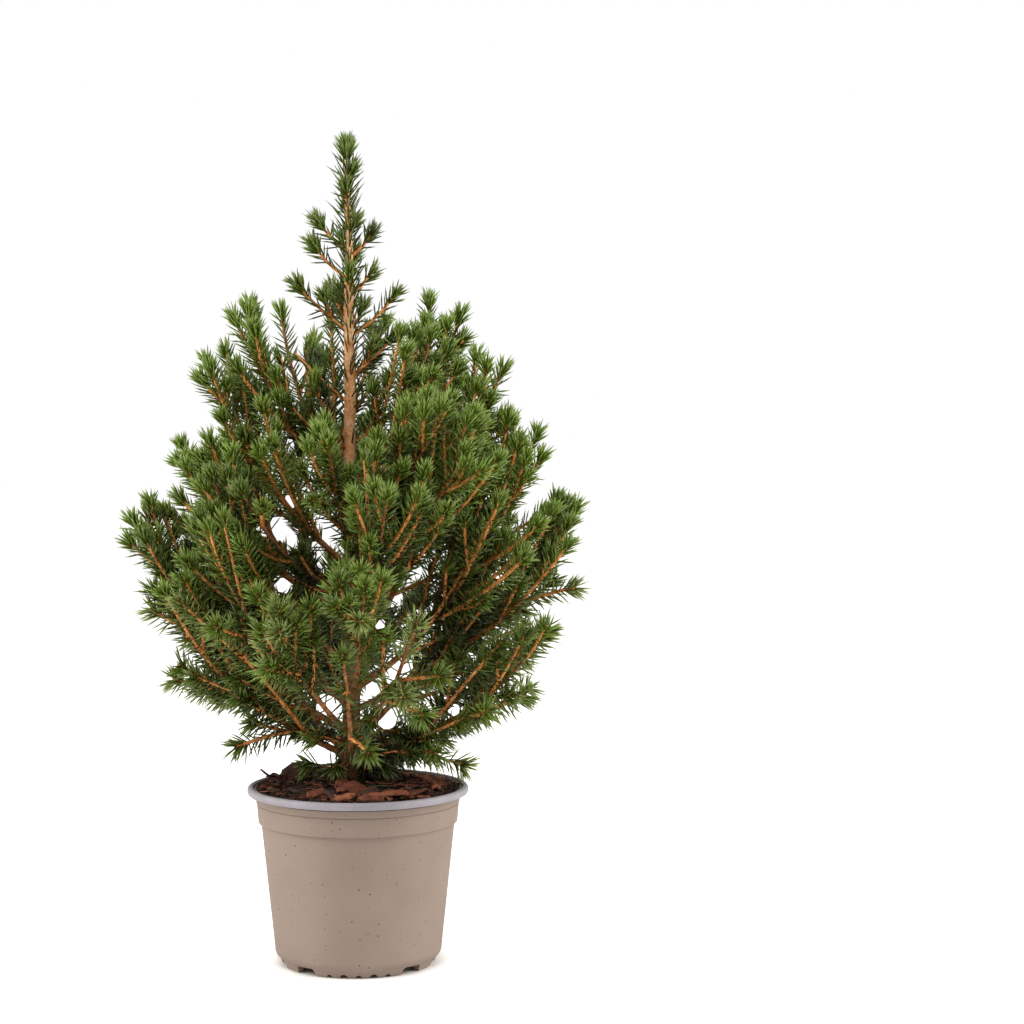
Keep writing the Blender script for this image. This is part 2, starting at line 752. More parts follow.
# short dark shoots crowd round the foot of the trunk, low over the soil
FOOT_SHOOTS = 40
for number in range(FOOT_SHOOTS):
    turn = number * GOLDEN_ANGLE
    start = trunk_at(0.109 + 0.024 * number / FOOT_SHOOTS)
    around = np.array([math.cos(turn), math.sin(turn), 0])
    length = rng.uniform(20, 50) * MM
    line = start + np.outer(np.linspace(0, 1, 12), around * length)
    line[:, 2] += (4 * MM + 0.1 * length) * np.sin(np.linspace(0, 1.9, 12)) ** 2
    mass = "mass_front_skirt" if around[1] < 0 else "mass_back_low"
    towards_front = around[1] < -0.9
    if not towards_front and not in_gap(line, 1.0).any() and not before_trunk(line).any():
        add_shoot(line, 3, mass, thickness(0.95 * MM, 0.55 * MM, len(line)), 0.1)

# and very short ones hug the leader up to its tip
LEADER_SHOOTS = 9
for number in range(LEADER_SHOOTS):
    share = number / (LEADER_SHOOTS - 1)
    turn = number * GOLDEN_ANGLE
    start = trunk_at(0.372 + 0.086 * share)
    around = np.array([math.cos(turn), math.sin(turn), 0])
    length = (17 - 8 * share) * MM
    line = twig_line(start, UP, around, length, math.radians(44 - 12 * share))
    add_shoot(line, 3, "mass_spire_tip", thickness(0.9 * MM, 0.6 * MM, len(line)), 0.1)

spine_line = np.array([trunk_at(height) for height in np.arange(0.20, 0.479, 0.0025)])
add_shoot(spine_line, 0, "mass_spire_tip", np.interp(spine_line[:, 2], trunk_middles[:, 2], trunk_radii))
count_by_order = {order: sum(s["order"] == order for s in shoots) for order in range(4)}
print("shoots by order:", count_by_order, "in all", round(sum(s["length"] for s in shoots), 1), "m")


# %% [markdown]
# ## Needles
# A spruce needle is a slim four-sided rod that bends a little forward. One is modelled from a
# triangle by extruding it twice and drawing it to a point, and every other one is a copy with
# its own length, width and bend. Needles follow each other round the shoot by the golden angle,
# stand off it widely where it is old, and close into a brush at the tip.

# %% One needle, at three bends
def needle_mesh(name, bend):
    bm = bmesh.new()
    bmesh.ops.create_cone(bm, cap_ends=True, segments=3, radius1=0.5, radius2=0, depth=1)
    bmesh.ops.translate(bm, verts=bm.verts, vec=(0, 0, 0.5))
    bmesh.ops.bisect_plane(bm, geom=bm.verts[:] + bm.edges[:] + bm.faces[:], plane_co=(0, 0, 0.6), plane_no=(0, 0, 1))
    for v in bm.verts:
        widen = 1.12 / 0.4 if 0.5 < v.co.z < 0.7 else 1
        v.co = Vector((v.co.x * widen + bend * v.co.z**2, v.co.y * widen, v.co.z))
    bmesh.ops.recalc_face_normals(bm, faces=bm.faces)
    bmesh.ops.triangulate(bm, faces=bm.faces)
    return mesh_of(bm, name)


NEEDLES = [needle_mesh("needle_" + str(i), bend) for i, bend in enumerate((0.03, 0.13, 0.24))]
print("needle:", triangles_of(NEEDLES[0]), "triangles")

# %% Deal needles along the shoots
NEEDLE_WIDTH = 0.95 * MM
TIP_TUFT = 13 * MM
DENSITY = {0: 1.7, 1: 1.35, 2: 1.4, 3: 1.45}  # needles per millimetre
TUFT_NEEDLES = {0: 95, 1: 34, 2: 30, 3: 24}  # more of them at the tip

PARTS = {
    # crown part: the starts of the names of its masses
    "spire": ("spire", "leader"),
    "crest": ("left_crest", "right_crest", "back_crest", "right_inner", "left_shoulder"),
    "front_low": ("front_low", "front_skirt", "front_left_low", "front_right_low", "right_skirt"),
    "front_high": ("front_",),
    "left": ("left_",),
    "right": ("right_",),
    "back_low": ("back_low", "back_left_low", "back_right_low"),
    "back_high": ("back_",),
}


def part_of(mass):
    plain = mass.replace("mass_", "")
    return next(part for part, starts in PARTS.items() if plain.startswith(starts))


def frames_along(shoot, where):
    along = unit(at_length(directions(shoot["line"]), shoot["lengths"], where))
    side = unit(np.cross(along, UP + np.array([0.013, 0.007, 0])))
    return along, side, np.cross(side, along)


# The greens of a shoot: one for its length and a brighter one for its tip.
def shoot_tones(shoot):
    tip = shoot["line"][-1]
    depth = np.hypot(tip[0], tip[1]) / max(crown_reach(tip[2]), 0.02)
    low = tip[2] < 0.225
    lift = 2.2 * depth + 2.0 * (tip[2] - 0.11) / 0.37 - 0.85 + rng.normal(0, 0.5)
    lift -= 1.6 * (shoot["order"] == 3 and tip[2] < 0.14)
    spire = "spire" in shoot["mass"]
    body = int(np.clip(round(lift), 0, 1 if spire else 3))
    if low and depth > 0.7 and rng.random() < 0.35:
        return 5, 5
    bright = int(np.clip(body + 1 + (rng.random() < 0.25), 1, 2 if spire else 4))
    return body, bright


def needles_on(shoot):
    order, length = shoot["order"], shoot["length"]
    start = shoot["bare"] * length
    tip = shoot["line"][-1]
    low = np.clip((0.26 - tip[2]) / 0.08, 0, 1)  # 1 on the open, drooping shoots low down
    count = int((length - start) / MM * DENSITY[order])
    body = start + (length - start) * (np.arange(count) + rng.uniform(0, 1, count)) / max(count, 1)
    if order == 0:  # the leader's older bark has lost most of its needles
        body = body[rng.random(count) < np.interp(body / length, (0.3, 0.5, 0.7), (0.1, 0.6, 0.95))]
    crowd = TUFT_NEEDLES[order] + 14 * ("spire" in shoot["mass"] and order == 2)
    tuft = length - TIP_TUFT * 0.5 * rng.random(crowd) ** 1.3
    where = np.sort(np.r_[body, tuft[tuft > start]])
    to_tip = length - where
    along, side, up = frames_along(shoot, where)
    turn = GOLDEN_ANGLE * np.arange(len(where)) + rng.normal(0, 0.3, len(where)) + rng.uniform(0, 6)
    around = np.cos(turn)[:, None] * side + np.sin(turn)[:, None] * up
    closing = np.clip(1 - to_tip / TIP_TUFT, 0, 1)
    lean = np.radians(rng.normal(52, 9, len(where)) - closing * (26 - 14 * low))
    lean += np.radians(10) * low - np.radians(14) * (order == 0) * (1 - 0.6 * closing)
    axis = np.cos(lean)[:, None] * along + np.sin(lean)[:, None] * around
    axis = unit(axis + UP * (0.08 - 0.3 * low))
    size = (10.2 + 1.4 * low + (order == 0) * (4 - 2 * closing)) * MM * rng.normal(1, 0.10, len(where))
    size *= 1 - 0.08 * closing * (1 - low)
    radius = np.interp(where, shoot["lengths"], shoot["radii"])
    base = at_length(shoot["line"], shoot["lengths"], where) + around * radius[:, None] * 0.7
    forward = along - UP * 0.9 * low
    across = unit(np.cross(axis, forward))
    forward = np.cross(across, axis)
    body_tone, tip_tone = shoot_tones(shoot)
    tones = np.where(to_tip < TIP_TUFT * rng.uniform(0.5, 0.9, len(where)), tip_tone, body_tone)
    # thinner on the side that faces out of the crown, so the stem shows, and deep inside it
    outward = unit((base - np.array([0, 0, 0.04])) * np.array([1, 1, 0.4]))
    outward[:, 1] -= 0.5 * np.clip(-base[:, 1] / (30 * MM), 0, 1)
    facing = np.clip(((around * unit(outward)).sum(axis=1) - 0.25) / 0.4, 0, 1)
    facing *= np.clip(to_tip / TIP_TUFT, 0, 1)
    inside = np.clip(1 - np.hypot(base[:, 0], base[:, 1]) / (0.45 * crown_reach(base[:, 2]) + 0.01), 0, 1)
    facing *= "front_skirt" not in shoot["mass"]
    keep = rng.random(len(where)) > np.maximum(0.86 * facing, 0.55 * inside * (order in (1, 2)))
    ragged = rng.uniform(0.65, 1.25, len(where)) * (0.0 if order == 1 and tip[2] > 0.33 else 1.0)
    for share in (0.5, 0.95):
        keep &= ~in_gap(base + axis * size[:, None] * share, ragged)
    keep &= ~(before_trunk(base + axis * size[:, None] * 0.6) & (rng.random(len(where)) < 0.85))
    keep &= (base + axis * size[:, None])[:, 2] > 0.1035
    return base[keep], axis[keep], forward[keep], across[keep], size[keep], tones[keep]


dealt = {part: [] for part in PARTS}
for shoot in shoots:
    dealt[part_of(shoot["mass"])].append(needles_on(shoot))

# %% Join the needles of each crown part
needle_total = 0
for part, sets in dealt.items():
    base, axis, forward, across, size, tones = (np.concatenate(column) for column in zip(*sets))
    width = NEEDLE_WIDTH * rng.uniform(0.85, 1.1, len(size))
    kinds = rng.integers(0, len(NEEDLES), len(size))
    meshes = []
    for kind, needle in enumerate(NEEDLES):
        mine = kinds == kind
        stretch = np.stack([
            forward[mine] * width[mine, None], across[mine] * width[mine, None], axis[mine] * size[mine, None],
        ], axis=1)
        # the bend is a share of the needle's length, so it is added to the axis it leans along
        meshes.append(scatter_mesh("needles", needle, stretch, base[mine], tones[mine]))
    bm = bmesh.new()
    for mesh in meshes:
        bm.from_mesh(mesh)
        bpy.data.meshes.remove(mesh)
    mesh = mesh_of(bm, "needles_" + part)
    for tone in NEEDLE_TONES:
        mesh.materials.append(tone)
    nodes = [mass for mass in MASSES if part_of(mass) == part]
    add_piece("needles_" + part, mesh, nodes)
    needle_total += len(size)
    print("needles_" + part, len(size), "needles,", triangles_of(mesh), "triangles")
print("needles in all:", needle_total)


# %% [markdown]
# ## Bark
# The stem of a spruce is set with small pegs, one under every needle it has borne, each running
# down the bark as a low ridge. Old bark breaks into scales between them. A round tube is drawn
# along every limb and its surface is then raised: pegs by the golden angle on young wood, plates
# parted by cracks on old wood. One rule serves the trunk and the boughs.

# %% Raise the bark of a tube
PEG_PITCH = 0.75 * MM
PEG_HEIGHT = 0.34 * MM
PEG_WIDTH = 0.55 * MM
PEG_TAIL = 4.2 * MM
PLATE_HEIGHT = 0.42 * MM


def peg_relief(lengths, angles, radii):
    relief = np.zeros(len(lengths))
    nearest = np.round(lengths / PEG_PITCH).astype(int)
    for step in range(-1, int(PEG_TAIL / PEG_PITCH) + 1):
        peg = nearest + step
        ahead = peg * PEG_PITCH - lengths
        off = (angles - peg * GOLDEN_ANGLE + math.pi) % (2 * math.pi) - math.pi
        ridge = np.exp(-((off * radii / PEG_WIDTH) ** 2))
        fall = np.where(ahead < 0, np.clip(1 + ahead / (0.5 * MM), 0, 1), np.clip(1 - ahead / PEG_TAIL, 0, 1))
        relief = np.maximum(relief, ridge * fall)
    return relief * PEG_HEIGHT


def plate_relief(points):
    relief = []
    for x, y, z in points:
        spot = Vector((x * 300, y * 300, z * 130))
        near, next_near = noise.voronoi(spot)[0][:2]
        crack = min(1.0, (next_near - near) * 5)
        relief.append(crack * (0.7 + 0.3 * noise.noise(spot * 3)))
    return np.array(relief) * PLATE_HEIGHT


def bark_mesh(name, lines, radii, resolution, old_wood):
    mesh = tube_mesh(name, lines, radii, resolution)
    points = np.array([v.co for v in mesh.vertices])
    sides = len(points) // sum(len(line) for line in lines)
    middles = np.repeat(np.concatenate(lines), sides, axis=0)
    sizes = np.repeat(np.concatenate(radii), sides)
    lengths = np.repeat(np.concatenate([lengths_along(line) for line in lines]), sides)
    angles = np.tile(np.arange(sides) * 2 * math.pi / sides, len(points) // sides)
    old = old_wood(middles, lengths)
    lift = (1 - old) * peg_relief(lengths, angles, sizes) + old * plate_relief(points)
    lift *= np.clip(sizes / (2.4 * MM), 0.25, 1)
    points += unit(points - middles) * (lift - 0.3 * PEG_HEIGHT)[:, None]
    mesh.vertices.foreach_set("co", points.astype(np.float32).ravel())
    mesh.update()
    return mesh


# %% Trunk
TRUNK_STEP = 0.9 * MM
trunk_foot, trunk_top = trunk_middles[0, 2], trunk_middles[-1, 2]
heights = np.arange(trunk_foot - 4 * MM, trunk_top, TRUNK_STEP)
trunk_line = np.array([trunk_at(height) for height in heights])
trunk_line[:, 2] = heights
sway = np.array([[noise.noise((h * 22, 3.1, k)) for k in (1.7, 8.3)] for h in heights])
trunk_line[:, :2] += sway * 1.0 * MM
trunk_sizes = np.array([trunk_radius(height) for height in heights])
knots = sorted(foot[2] for foot in mass_feet.values())
for knot in knots:
    trunk_sizes *= 1 + 0.10 * np.exp(-(((heights - knot) / (3.5 * MM)) ** 2))
trunk_mesh = bark_mesh(
    "trunk_bark", [trunk_line], [trunk_sizes], 12,
    lambda middles, lengths: np.clip((0.235 - middles[:, 2]) / 0.09, 0, 1),
)
trunk_mesh.materials.append(OLD_BARK)
add_piece("trunk_bark", trunk_mesh, ["trunk"])
print("trunk_bark:", triangles_of(trunk_mesh), "triangles")

# %% Boughs
BOUGH_STEP = 1.3 * MM
leaders = [shoot for shoot in shoots if shoot["order"] == 1]
bough_lines, bough_sizes = [], []
for leader in leaders:
    where = np.arange(0, leader["length"], BOUGH_STEP)
    bough_lines.append(at_length(leader["line"], leader["lengths"], where))
    bough_sizes.append(np.interp(where, leader["lengths"], leader["radii"]))
bough_mesh = bark_mesh(
    "bough_bark", bough_lines, bough_sizes, 3,
    lambda middles, lengths: np.clip(1 - lengths / (50 * MM), 0, 1) * (middles[:, 2] < 0.26),
)
bough_mesh.materials.append(BOUGH_BARK)
add_piece("bough_bark", bough_mesh, BOUGHS)
print("bough_bark:", triangles_of(bough_mesh), "triangles on", len(leaders), "boughs")

# %% Side shoots and twigs
for name, orders, material in (("shoot_stems", (2,), YOUNG_BARK), ("twig_stems", (3,), TWIG_BARK)):
    stems = [shoot for shoot in shoots if shoot["order"] in orders]
    mesh = tube_mesh(name, [s["line"] for s in stems], [s["radii"] for s in stems], 1)
    mesh.materials.append(material)
    add_piece(name, mesh)
    print(name, triangles_of(mesh), "triangles on", len(stems), "stems")


# %% [markdown]
# ## Buds
# Every shoot ends in a small brown bud that sits in the middle of its brush of needles. It is a
# little egg of five sides drawn to a blunt point, copied to all the tips.

# %% One bud, and a bud on every shoot
def bud_mesh():
    bm = bmesh.new()
    bmesh.ops.create_uvsphere(bm, u_segments=6, v_segments=5, radius=1.0)
    for v in bm.verts:
        squeeze = 1 - 0.35 * max(v.co.z, 0)
        v.co = Vector((v.co.x * squeeze, v.co.y * squeeze, v.co.z * 1.45))
    return mesh_of(bm, "bud")


tips = np.array([shoot["line"][-1] for shoot in shoots])
headings = unit([shoot["line"][-1] - shoot["line"][-3] for shoot in shoots])
sides = unit(np.cross(headings, UP + np.array([0.013, 0.007, 0])))
bud_sizes = rng.uniform(0.75, 1.15, len(shoots)) * MM
bud_axes = np.stack([sides, np.cross(headings, sides), headings], axis=1) * bud_sizes[:, None, None]
buds = scatter_mesh("buds", bud_mesh(), bud_axes, tips, np.zeros(len(shoots), int))
buds.materials.append(BUD_BROWN)
add_piece("buds", buds)
print("buds:", len(tips), "of them,", triangles_of(buds), "triangles")


# %% [markdown]
# ## The pot
# A thin moulded pot is a solid of revolution: a wall that leans in towards the foot, a band that
# steps out under the rim, a chamfer and a recessed floor. Its section is drawn once and spun.
# The foot is then opened by cutters, three times round: two wide gaps with a small foot between
# them, and small half-round notches under each wide foot, so water can run out.

# %% Section and spin
pot_low, pot_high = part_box("pot")
POT_HEIGHT = pot_high.z
RIM_RADIUS = pot_high.x
WALL = 1.4 * MM
RIM_DEPTH = 4.6 * MM
NECK_RADIUS = 0.926 * RIM_RADIUS
BAND_RADIUS = 0.911 * RIM_RADIUS
BAND_TOP = 0.908 * POT_HEIGHT
BAND_BOTTOM = 0.8 * POT_HEIGHT
WALL_RADIUS = 0.876 * RIM_RADIUS
WALL_FOOT = 0.757 * RIM_RADIUS
FOOT_ROUND = 6 * MM
ROUND_TOP = 9.5 * MM
FOOT_RADIUS = 0.714 * RIM_RADIUS
FOOT_WIDTH = 6 * MM
FLOOR_HEIGHT = 5 * MM
POT_SEGMENTS = 160


def spun_mesh(name, section, closed, segments=POT_SEGMENTS):
    bm = bmesh.new()
    verts = [bm.verts.new((radius, 0, height)) for radius, height in section]
    edges = [bm.edges.new(pair) for pair in zip(verts, verts[1:] + verts[:1])][: None if closed else -1]
    bmesh.ops.spin(
        bm, geom=verts + edges, cent=(0, 0, 0), axis=(0, 0, 1), angle=2 * math.pi,
        steps=segments, use_merge=True,
    )
    bmesh.ops.remove_doubles(bm, verts=bm.verts, dist=0.01 * MM)
    bmesh.ops.recalc_face_normals(bm, faces=bm.faces)
    return mesh_of(bm, name)


# A quarter circle of a section, from one angle to another, in degrees.
def arc(radius, height, size, start, end, steps=5):
    angles = [math.radians(start + (end - start) * i / steps) for i in range(steps + 1)]
    return [(radius + size * math.cos(a), height + size * math.sin(a)) for a in angles]


STEP = 0.5 * MM
wall_section = [
    (0, FLOOR_HEIGHT + WALL),
    (FOOT_RADIUS - 3 * WALL, FLOOR_HEIGHT + WALL),
    *arc(FOOT_RADIUS - 3 * WALL, ROUND_TOP, ROUND_TOP - FLOOR_HEIGHT - WALL, -60, -10, 4),
    (WALL_RADIUS - WALL, BAND_BOTTOM),
    (NECK_RADIUS - WALL, POT_HEIGHT - 1.6 * RIM_DEPTH),
    (NECK_RADIUS - 0.2 * WALL, POT_HEIGHT - 1.2 * MM),
    (NECK_RADIUS + 0.6 * WALL, POT_HEIGHT - 1.2 * MM),
    (NECK_RADIUS, POT_HEIGHT - RIM_DEPTH),
    (NECK_RADIUS - 0.3 * MM, BAND_TOP + STEP),
    (NECK_RADIUS - 1.0 * MM, BAND_TOP),
    *arc(BAND_RADIUS - 0.5 * STEP, BAND_TOP - 1.5 * STEP, STEP, 80, 0, 3),
    (BAND_RADIUS - 0.6 * MM, BAND_BOTTOM + STEP),
    *arc(BAND_RADIUS - 0.6 * MM - STEP, BAND_BOTTOM + STEP, STEP, 0, -80, 3),
    (WALL_RADIUS, BAND_BOTTOM - 0.4 * STEP),
    (WALL_RADIUS - 0.1 * STEP, BAND_BOTTOM - 2 * STEP),
    *arc(WALL_FOOT - FOOT_ROUND, ROUND_TOP, FOOT_ROUND, 4, -46, 8),
    (FOOT_RADIUS + 0.4 * MM, 4.6 * MM),
    *arc(FOOT_RADIUS - 2.3 * MM, 0.7 * MM, 0.7 * MM, 0, -90, 3),
    *arc(FOOT_RADIUS - FOOT_WIDTH + 0.7 * MM, 0.7 * MM, 0.7 * MM, -90, -180, 3),
    (FOOT_RADIUS - FOOT_WIDTH, FLOOR_HEIGHT),
    (0, FLOOR_HEIGHT),
]
pot_mesh = spun_mesh("nursery_pot", wall_section, closed=False)
print("pot spun:", triangles_of(pot_mesh), "triangles")

# %% Gaps and notches in the foot
FOOT_TURNS = (0, 120, 240)
GAP_ANGLES = (42, 78)
GAP_WIDTH, GAP_HEIGHT = 13 * MM, 4.6 * MM
NOTCH_ANGLES = (-22, -11, 0, 11, 22)
NOTCH_RADIUS = 2.2 * MM
CUT_DEPTH = 18 * MM


# A cutter is an outline seen from outside the pot, drawn through the foot towards the middle.
def add_cutter(bm, outline, angle):
    front = [bm.verts.new((across, -FOOT_RADIUS - 6 * MM, height)) for across, height in outline]
    face = bm.faces.new(front)
    grown = bmesh.ops.extrude_face_region(bm, geom=[face])["geom"]
    back = [v for v in grown if isinstance(v, bmesh.types.BMVert)]
    bmesh.ops.translate(bm, verts=back, vec=(0, CUT_DEPTH, 0))
    bmesh.ops.rotate(bm, verts=front + back, cent=(0, 0, 0), matrix=Matrix.Rotation(math.radians(angle), 3, "Z"))


def gap_outline(width, height):
    corners = arc(width * 0.5 - 1.6 * MM, height - 1.6 * MM, 1.6 * MM, 10, 90, 4)
    left = [(-across, up) for across, up in reversed(corners)]
    return [(-width * 0.56, -1 * MM), (width * 0.56, -1 * MM), *corners, *left]


def notch_outline(radius):
    return [(-radius, -1 * MM), (radius, -1 * MM), *arc(0, 0, radius, 0, 180, 10)]


bm = bmesh.new()
for turn in FOOT_TURNS:
    for degrees in GAP_ANGLES:
        add_cutter(bm, gap_outline(GAP_WIDTH, GAP_HEIGHT), turn + degrees)
    for count, degrees in enumerate(NOTCH_ANGLES):
        add_cutter(bm, notch_outline(NOTCH_RADIUS * (1.08 if count % 2 else 0.88)), turn + degrees)
bmesh.ops.recalc_face_normals(bm, faces=bm.faces)
cutter = bpy.data.objects.new("foot_cutter", mesh_of(bm, "foot_cutter"))
bpy.context.scene.collection.objects.link(cutter)
pot = add_piece("nursery_pot", pot_mesh, ["pot"])
cut = pot.modifiers.new("foot gaps", "BOOLEAN")
cut.operation = "DIFFERENCE"
cut.object = cutter
graph = bpy.context.evaluated_depsgraph_get()
pot.data = bpy.data.meshes.new_from_object(pot.evaluated_get(graph))
pot.modifiers.clear()
bpy.data.objects.remove(cutter)
pot.data.materials.clear()
pot.data.materials.append(POT_PLASTIC)
pot.data.set_sharp_from_angle(angle=math.radians(35))
print("nursery_pot:", triangles_of(pot.data), "triangles")

# %% The rolled rim
LIP = 1.7 * MM
RIM_MOUTH = 0.947 * RIM_RADIUS
rim_section = [
    *arc(RIM_RADIUS - LIP, POT_HEIGHT - LIP, LIP, 95, 0),
    *arc(RIM_RADIUS - LIP, POT_HEIGHT - RIM_DEPTH + LIP, LIP, 0, -100),
    (NECK_RADIUS + 0.8 * MM, POT_HEIGHT - RIM_DEPTH + 0.9 * MM),
    (NECK_RADIUS + 0.3 * MM, POT_HEIGHT - RIM_DEPTH - 0.5 * MM),
    (RIM_MOUTH - 1.5 * MM, POT_HEIGHT - RIM_DEPTH + 0.6 * MM),
    *arc(RIM_MOUTH + 0.7 * MM, POT_HEIGHT - 0.8 * MM, 0.7 * MM, 190, 100, 4),
]
rim_mesh = spun_mesh("pot_rim", rim_section, closed=True)
rim_mesh.materials.append(RIM_PLASTIC)
add_piece("pot_rim", rim_mesh, ["pot"])
print("pot_rim:", triangles_of(rim_mesh), "triangles")


# %% [markdown]
# ## Soil and mulch
# The pot is topped with dark peat, mounded a little at the stem, with reddish bark chips, thin
# fibres and crumbs on it. The peat is spun and its top raised by noise. Chips, crumbs and fibres
# are a few small models, copied and turned to lie on that surface.

# %% The peat
soil_low, soil_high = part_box("soil")
SOIL_EDGE = POT_HEIGHT - 1.2 * MM  # the mulch is heaped to the rim
SOIL_EDGE_RADIUS = RIM_MOUTH - 0.2 * MM
HEAP = np.array([-34, 34]) * MM  # it is highest here, at the back left
HEAP_HEIGHT = 2.4 * MM
HEAP_REACH = 26 * MM
MOUND = soil_high.z - SOIL_EDGE


def soil_height(x, y):
    share = min(1.0, math.hypot(x, y) / SOIL_EDGE_RADIUS)
    mound = MOUND * 0.5 * (1 + math.cos(math.pi * min(1.0, max(0.0, share - 0.1) / 0.9)))
    coarse = noise.noise((x * 90, y * 90, 2.5)) * 1.3 * MM
    fine = noise.noise((x * 420, y * 420, 7.5)) * 0.6 * MM
    heap = HEAP_HEIGHT * math.exp(-((x - HEAP[0]) ** 2 + (y - HEAP[1]) ** 2) / HEAP_REACH**2)
    return SOIL_EDGE + mound + (coarse + fine + heap) * (1 - 0.7 * share**8) - 0.4 * MM


soil_section = [(SOIL_EDGE_RADIUS * i / 60, SOIL_EDGE) for i in range(61)]
soil_section += [
    (RIM_MOUTH - 0.2 * MM, POT_HEIGHT - 3 * MM),
    (NECK_RADIUS - 1.3 * WALL, POT_HEIGHT - 2 * RIM_DEPTH),
    (WALL_FOOT - 2 * WALL, 2 * ROUND_TOP),
    (0, 2 * ROUND_TOP),
]
soil_mesh = spun_mesh("peat", soil_section, closed=False, segments=180)
for v in soil_mesh.vertices:
    if v.co.z > SOIL_EDGE - 1 * MM:
        v.co.z = soil_height(v.co.x, v.co.y)
soil_mesh.materials.append(PEAT)
add_piece("peat", soil_mesh, ["soil"])
print("peat:", triangles_of(soil_mesh), "triangles")


# %% Crumbs, chips and fibres
def crumb_mesh():
    bm = bmesh.new()
    bmesh.ops.create_icosphere(bm, subdivisions=1, radius=1.0)
    for v in bm.verts:
        v.co *= 1 + 0.35 * noise.noise(v.co * 1.7)
    return mesh_of(bm, "crumb")


def chip_mesh(number):
    bm = bmesh.new()
    bmesh.ops.create_grid(bm, x_segments=5, y_segments=3, size=0.5)
    for v in bm.verts:
        ragged = noise.noise_vector(Vector((v.co.x * 2.3, v.co.y * 2.3, number * 3.7)))
        v.co += Vector((ragged.x * 0.30, ragged.y * 0.34, ragged.z * 0.10))
        v.co.z += 0.22 * (v.co.x**2 + 0.6 * v.co.y) * math.sin(number * 2.1)
    grown = bmesh.ops.extrude_face_region(bm, geom=bm.faces[:])["geom"]
    top = [v for v in grown if isinstance(v, bmesh.types.BMVert)]
    for v in top:
        v.co = Vector((v.co.x * 0.9, v.co.y * 0.86, v.co.z + 0.14 + 0.05 * noise.noise(v.co * 5)))
    bmesh.ops.recalc_face_normals(bm, faces=bm.faces)
    bmesh.ops.triangulate(bm, faces=bm.faces)
    return mesh_of(bm, "chip")


def random_spots(count, inner=6 * MM, outer=0.97):
    radius = np.sqrt(rng.uniform((inner / SOIL_EDGE_RADIUS) ** 2, outer**2, count)) * SOIL_EDGE_RADIUS
    angle = rng.uniform(0, 2 * math.pi, count)
    return np.c_[radius * np.cos(angle), radius * np.sin(angle)]


def laid_axes(turns, tilts, rolls, sizes):
    axes = []
    for turn, tilt, roll, size in zip(turns, tilts, rolls, sizes):
        spin = Matrix.Rotation(turn, 3, "Z") @ Matrix.Rotation(tilt, 3, "Y") @ Matrix.Rotation(roll, 3, "X")
        axes.append(np.array(spin).T * np.array(size)[:, None])
    return np.array(axes)


def lay_pieces(name, prototypes, spots, sizes, tilt, sink, materials):
    count = len(spots)
    kinds = rng.integers(0, len(prototypes), count)
    tones = rng.integers(0, len(materials), count)
    axes = laid_axes(
        rng.uniform(0, 2 * math.pi, count), rng.normal(0, tilt, count), rng.normal(0, tilt, count), sizes,
    )
    places = np.array([[x, y, soil_height(x, y)] for x, y in spots])
    places[:, 2] += sink * np.asarray(sizes)[:, 2]
    bm = bmesh.new()
    for kind, prototype in enumerate(prototypes):
        mine = kinds == kind
        mesh = scatter_mesh(name, prototype, axes[mine], places[mine], tones[mine])
        bm.from_mesh(mesh)
        bpy.data.meshes.remove(mesh)
    mesh = mesh_of(bm, name)
    for material in materials:
        mesh.materials.append(material)
    add_piece(name, mesh, smooth=False)
    print(name, count, "pieces,", triangles_of(mesh), "triangles")


crumb_sizes = rng.uniform(0.5, 1.5, (1500, 1)) * MM * rng.uniform(0.7, 1.2, (1500, 3))
lay_pieces("peat_crumbs", [crumb_mesh()], random_spots(1500), crumb_sizes, 1.0, 0.3, [PEAT, DARK_CHIP])

CHIP_COUNT = 150
chip_length = rng.uniform(3.0, 10, CHIP_COUNT) * MM
chip_sizes = np.c_[chip_length, chip_length * rng.uniform(0.3, 0.6, CHIP_COUNT), rng.uniform(3, 6, CHIP_COUNT) * MM]
chips = [chip_mesh(number) for number in range(7)]
small_tones = [DARK_CHIP, DARK_CHIP, DARK_CHIP, *CHIP_TONES]
lay_pieces("bark_chips", chips, random_spots(CHIP_COUNT, 9 * MM, 0.95), chip_sizes, 0.26, 0.16, small_tones)

# %% The largest chips, each in its place
LARGE_CHIPS = [
    # across, back, length, width, turn, tilt, roll, material
    (-35, 21, 19, 12, -8, 12, 52, 3), (-26, 12, 13, 8, 70, 12, 8, 0), (-1, -32, 19, 11, -34, 14, 30, 1),
    (15, -46, 24, 6, 8, -5, 6, 2), (-15, -42, 17, 9, 64, 12, 26, 3), (-33, -28, 13, 7, -50, 14, 8, 0),
    (34, -33, 11, 5, 35, -12, -8, 1), (-6, -24, 14, 8, 12, 20, 24, 1), (42, 14, 13, 8, -40, 14, 8, 1),
    (12, 44, 15, 9, 15, -14, -8, 3), (-20, 44, 14, 8, -35, 8, 4, 0), (46, -12, 10, 5, 75, -10, -6, 2),
    (-49, -8, 11, 6, 80, 12, 8, 0), (26, 38, 13, 7, 50, 10, 6, 0), (8, -52, 15, 5, 12, 6, 18, 1),
    (-9, -52, 12, 4, -18, -8, 12, 2), (22, -40, 14, 6, -22, 12, 20, 1), (-24, -40, 12, 6, 40, -10, 22, 1),
    (6, -40, 13, 7, 55, -16, 24, 3), (-48, 20, 12, 7, -60, -12, -8, 0),
]
large = np.array(LARGE_CHIPS, float)
large_axes = laid_axes(
    np.radians(large[:, 4]), np.radians(large[:, 5]), np.radians(large[:, 6]),
    np.c_[large[:, 2] * MM, large[:, 3] * MM, np.full(len(large), 9 * MM)],
)
